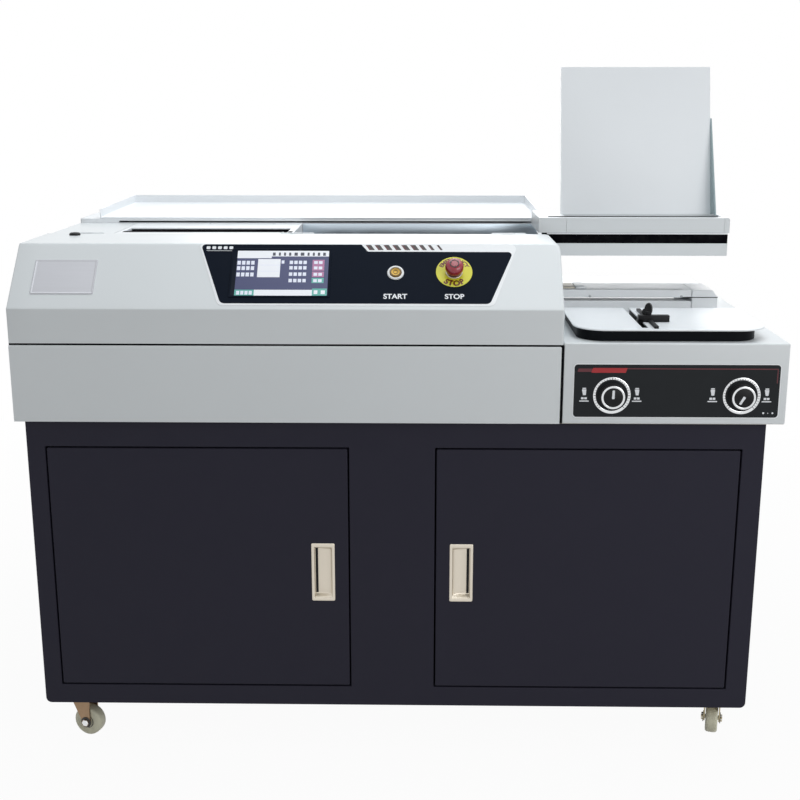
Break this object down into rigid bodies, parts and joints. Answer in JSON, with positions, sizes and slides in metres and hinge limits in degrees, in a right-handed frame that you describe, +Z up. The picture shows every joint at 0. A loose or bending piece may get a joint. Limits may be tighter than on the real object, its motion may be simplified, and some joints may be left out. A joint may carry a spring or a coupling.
{
  "type": "thermal binding machine",
  "caption": "Floor-standing book binder: a sliding clamp carries a book over milling and glue units to a nipping station, with a creasing unit and a cabinet on casters.",
  "frame": {"origin": "centre of the outer box on the floor, under the casters", "axes": "+X along the machine to the creasing unit at its right end, +Y from the console to the rear, +Z up"},
  "size_m": [1.27, 0.8032, 1.181],
  "materials": {
    "cabinet_paint": "fine texture powder coat",
    "housing_paint": "smooth powder coat",
    "white_paint": "smooth powder coat",
    "black_plastic": "fine grain",
    "pull_metal": "satin nickel plated",
    "black_paint": "satin",
    "zinc_steel": "zinc plated",
    "caster_tread": "smooth",
    "machined_steel": "ground",
    "machined_aluminium": "bead blasted",
    "belt_rubber": "toothed",
    "motor_paint": "satin",
    "panel_film": "satin film",
    "screen_glass": "glossy",
    "red_plastic": "glossy",
    "button_plastic": "glossy"
  },
  "bodies": {
    "machine": {"cabinet_shell": "cabinet_paint", "cabinet_front_frame": "cabinet_paint", "caster_plates": "zinc_steel", "chassis_plate": "zinc_steel", "lower_front_cover": "housing_paint", "end_covers": "housing_paint", "rear_cover": "housing_paint", "rear_deck": "housing_paint", "rear_tray": "white_paint", "hood_hinge_rail": "zinc_steel", "leveling_table": "white_paint", "spine_guide": "black_paint", "rail_beam": "machined_aluminium", "drive_belts": "belt_rubber", "drive_motors": "motor_paint", "glue_tank": "black_paint", "creaser_housing": "housing_paint", "crease_table_base": "black_paint", "crease_table": "white_paint", "creaser_bridge": "machined_aluminium", "creaser_drive_cover": "black_paint", "power_inlet": "black_plastic", "control_box": "zinc_steel", "cover_screws": "zinc_steel"},
    "left_door": {"left_door": "cabinet_paint", "left_door_pull": "pull_metal"},
    "right_door": {"right_door": "cabinet_paint", "right_door_pull": "pull_metal"},
    "front_left_caster_fork": {"front_left_caster_fork": "zinc_steel"},
    "front_left_caster_wheel": {"front_left_caster_wheel": "caster_tread"},
    "front_right_caster_fork": {"front_right_caster_fork": "zinc_steel"},
    "front_right_caster_wheel": {"front_right_caster_wheel": "caster_tread"},
    "rear_left_caster_fork": {"rear_left_caster_fork": "zinc_steel"},
    "rear_left_caster_wheel": {"rear_left_caster_wheel": "caster_tread"},
    "rear_right_caster_fork": {"rear_right_caster_fork": "zinc_steel"},
    "rear_right_caster_wheel": {"rear_right_caster_wheel": "caster_tread"},
    "hood": {"hood": "housing_paint", "console_panel": "panel_film", "touch_screen": "screen_glass", "stop_stem": "black_plastic"},
    "start_button": {"start_button": "button_plastic"},
    "stop_plunger": {"stop_plunger": "machined_steel"},
    "stop_head": {"stop_head": "red_plastic"},
    "carriage": {"carriage_frame": "white_paint", "backrest_board": "white_paint", "side_stop": "black_paint"},
    "front_jaw": {"front_jaw": "white_paint"},
    "drive_pulley": {"drive_pulley": "machined_aluminium"},
    "idler_pulley": {"idler_pulley": "machined_aluminium"},
    "platform": {"platform_frame": "white_paint"},
    "front_nip_plate": {"front_nip_plate": "machined_steel"},
    "milling_cutter": {"milling_cutter": "machined_steel"},
    "first_glue_roller": {"first_glue_roller": "machined_steel"},
    "second_glue_roller": {"second_glue_roller": "machined_steel"},
    "crease_blade": {"crease_blade": "machined_steel"},
    "paper_stop": {"paper_stop": "black_paint"},
    "clamp_knob": {"clamp_knob": "black_plastic"},
    "left_panel_knob": {"left_panel_knob": "black_plastic"},
    "right_panel_knob": {"right_panel_knob": "black_plastic"},
    "power_switch": {"power_switch": "black_plastic"}
  },
  "joints": [
    {"name": "left_door_hinge", "type": "hinge", "parent": "machine", "child": "left_door", "pos_m": [-0.581, -0.36606, 0.339], "axis": [0, 0, -1], "range_deg": [0, 110]},
    {"name": "right_door_hinge", "type": "hinge", "parent": "machine", "child": "right_door", "pos_m": [0.562, -0.36606, 0.339], "axis": [0, 0, 1], "range_deg": [0, 110]},
    {"name": "front_left_caster_swivel", "type": "hinge", "parent": "machine", "child": "front_left_caster_fork", "pos_m": [-0.5795, -0.31456, 0.0772], "axis": [0, 0, 1], "continuous": true},
    {"name": "front_left_wheel_spin", "type": "hinge", "parent": "front_left_caster_fork", "child": "front_left_caster_wheel", "pos_m": [-0.56048, -0.32074, 0.027], "axis": [0.309, 0.9511, 0], "continuous": true},
    {"name": "front_right_caster_swivel", "type": "hinge", "parent": "machine", "child": "front_right_caster_fork", "pos_m": [0.5665, -0.31456, 0.0772], "axis": [0, 0, 1], "continuous": true},
    {"name": "front_right_wheel_spin", "type": "hinge", "parent": "front_right_caster_fork", "child": "front_right_caster_wheel", "pos_m": [0.57168, -0.29524, 0.027], "axis": [-0.9659, 0.2588, 0], "continuous": true},
    {"name": "rear_left_caster_swivel", "type": "hinge", "parent": "machine", "child": "rear_left_caster_fork", "pos_m": [-0.5795, 0.32544, 0.0772], "axis": [0, 0, 1], "continuous": true},
    {"name": "rear_left_wheel_spin", "type": "hinge", "parent": "rear_left_caster_fork", "child": "rear_left_caster_wheel", "pos_m": [-0.59682, 0.33544, 0.027], "axis": [-0.5, -0.866, 0], "continuous": true},
    {"name": "rear_right_caster_swivel", "type": "hinge", "parent": "machine", "child": "rear_right_caster_fork", "pos_m": [0.5665, 0.32544, 0.0772], "axis": [0, 0, 1], "continuous": true},
    {"name": "rear_right_wheel_spin", "type": "hinge", "parent": "rear_right_caster_fork", "child": "rear_right_caster_wheel", "pos_m": [0.58288, 0.33691, 0.027], "axis": [-0.5736, 0.8192, 0], "continuous": true},
    {"name": "hood_hinge", "type": "hinge", "parent": "machine", "child": "hood", "pos_m": [0, -0.13856, 0.887], "axis": [-1, 0, 0], "range_deg": [0, 70]},
    {"name": "start_press", "type": "slide", "parent": "hood", "child": "start_button", "axis": [0, 0.7295, -0.6839], "range_m": [0, 0.003], "stiffness_N_per_m": 400, "springref_m": -0.004},
    {"name": "stop_press", "type": "slide", "parent": "hood", "child": "stop_plunger", "axis": [0, 0.7295, -0.6839], "range_m": [0, 0.005]},
    {"name": "stop_twist", "type": "hinge", "parent": "stop_plunger", "child": "stop_head", "pos_m": [0.092, -0.33395, 0.84599], "axis": [0, 0.7295, -0.6839], "range_deg": [0, 45], "stiffness_Nm_per_rad": 0.02, "springref_deg": -11.46},
    {"name": "carriage_slide", "type": "slide", "parent": "machine", "child": "carriage", "axis": [-1, 0, 0], "range_m": [0, 0.804]},
    {"name": "jaw_slide", "type": "slide", "parent": "carriage", "child": "front_jaw", "axis": [0, 1, 0], "range_m": [0, 0.058]},
    {"name": "drive_pulley_spin", "type": "hinge", "parent": "machine", "child": "drive_pulley", "pos_m": [-0.5985, 0.16894, 0.838], "axis": [0, -1, 0], "continuous": true},
    {"name": "idler_pulley_spin", "type": "hinge", "parent": "machine", "child": "idler_pulley", "pos_m": [0.581, 0.16894, 0.838], "axis": [0, -1, 0], "continuous": true},
    {"name": "platform_lift", "type": "slide", "parent": "machine", "child": "platform", "axis": [0, 0, -1], "range_m": [0, 0.03]},
    {"name": "nip_slide", "type": "slide", "parent": "platform", "child": "front_nip_plate", "axis": [0, 1, 0], "range_m": [0, 0.055]},
    {"name": "cutter_spin", "type": "hinge", "parent": "machine", "child": "milling_cutter", "pos_m": [0.19, -0.04356, 0.858], "axis": [0, 0, 1], "continuous": true},
    {"name": "first_roller_spin", "type": "hinge", "parent": "machine", "child": "first_glue_roller", "pos_m": [-0.11, -0.04356, 0.846], "axis": [0, 1, 0], "continuous": true},
    {"name": "second_roller_spin", "type": "hinge", "parent": "machine", "child": "second_glue_roller", "pos_m": [-0.02, -0.04356, 0.846], "axis": [0, 1, 0], "continuous": true},
    {"name": "crease_press", "type": "slide", "parent": "machine", "child": "crease_blade", "axis": [0, 0, -1], "range_m": [0, 0.005]},
    {"name": "paper_stop_slide", "type": "slide", "parent": "machine", "child": "paper_stop", "axis": [0, 1, 0], "range_m": [-0.04, 0.1]},
    {"name": "clamp_knob_turn", "type": "hinge", "parent": "paper_stop", "child": "clamp_knob", "pos_m": [0.419, -0.29956, 0.759], "axis": [0, 0, 1], "range_deg": [0, 180]},
    {"name": "left_knob_turn", "type": "hinge", "parent": "machine", "child": "left_panel_knob", "pos_m": [0.35, -0.38456, 0.652], "axis": [0, 1, 0], "range_deg": [-150, 150]},
    {"name": "right_knob_turn", "type": "hinge", "parent": "machine", "child": "right_panel_knob", "pos_m": [0.561, -0.38456, 0.652], "axis": [0, 1, 0], "range_deg": [0, 300]},
    {"name": "power_switch_rock", "type": "hinge", "parent": "machine", "child": "power_switch", "pos_m": [-0.475, 0.39544, 0.6735], "axis": [1, 0, 0], "range_deg": [0, 16]}
  ],
  "couplings": [
    {"joint": "drive_pulley_spin", "follows": "carriage_slide", "rad_per_m": 45.455},
    {"joint": "idler_pulley_spin", "follows": "carriage_slide", "rad_per_m": 45.455},
    {"joint": "second_roller_spin", "follows": "first_roller_spin", "ratio": 1}
  ]
}
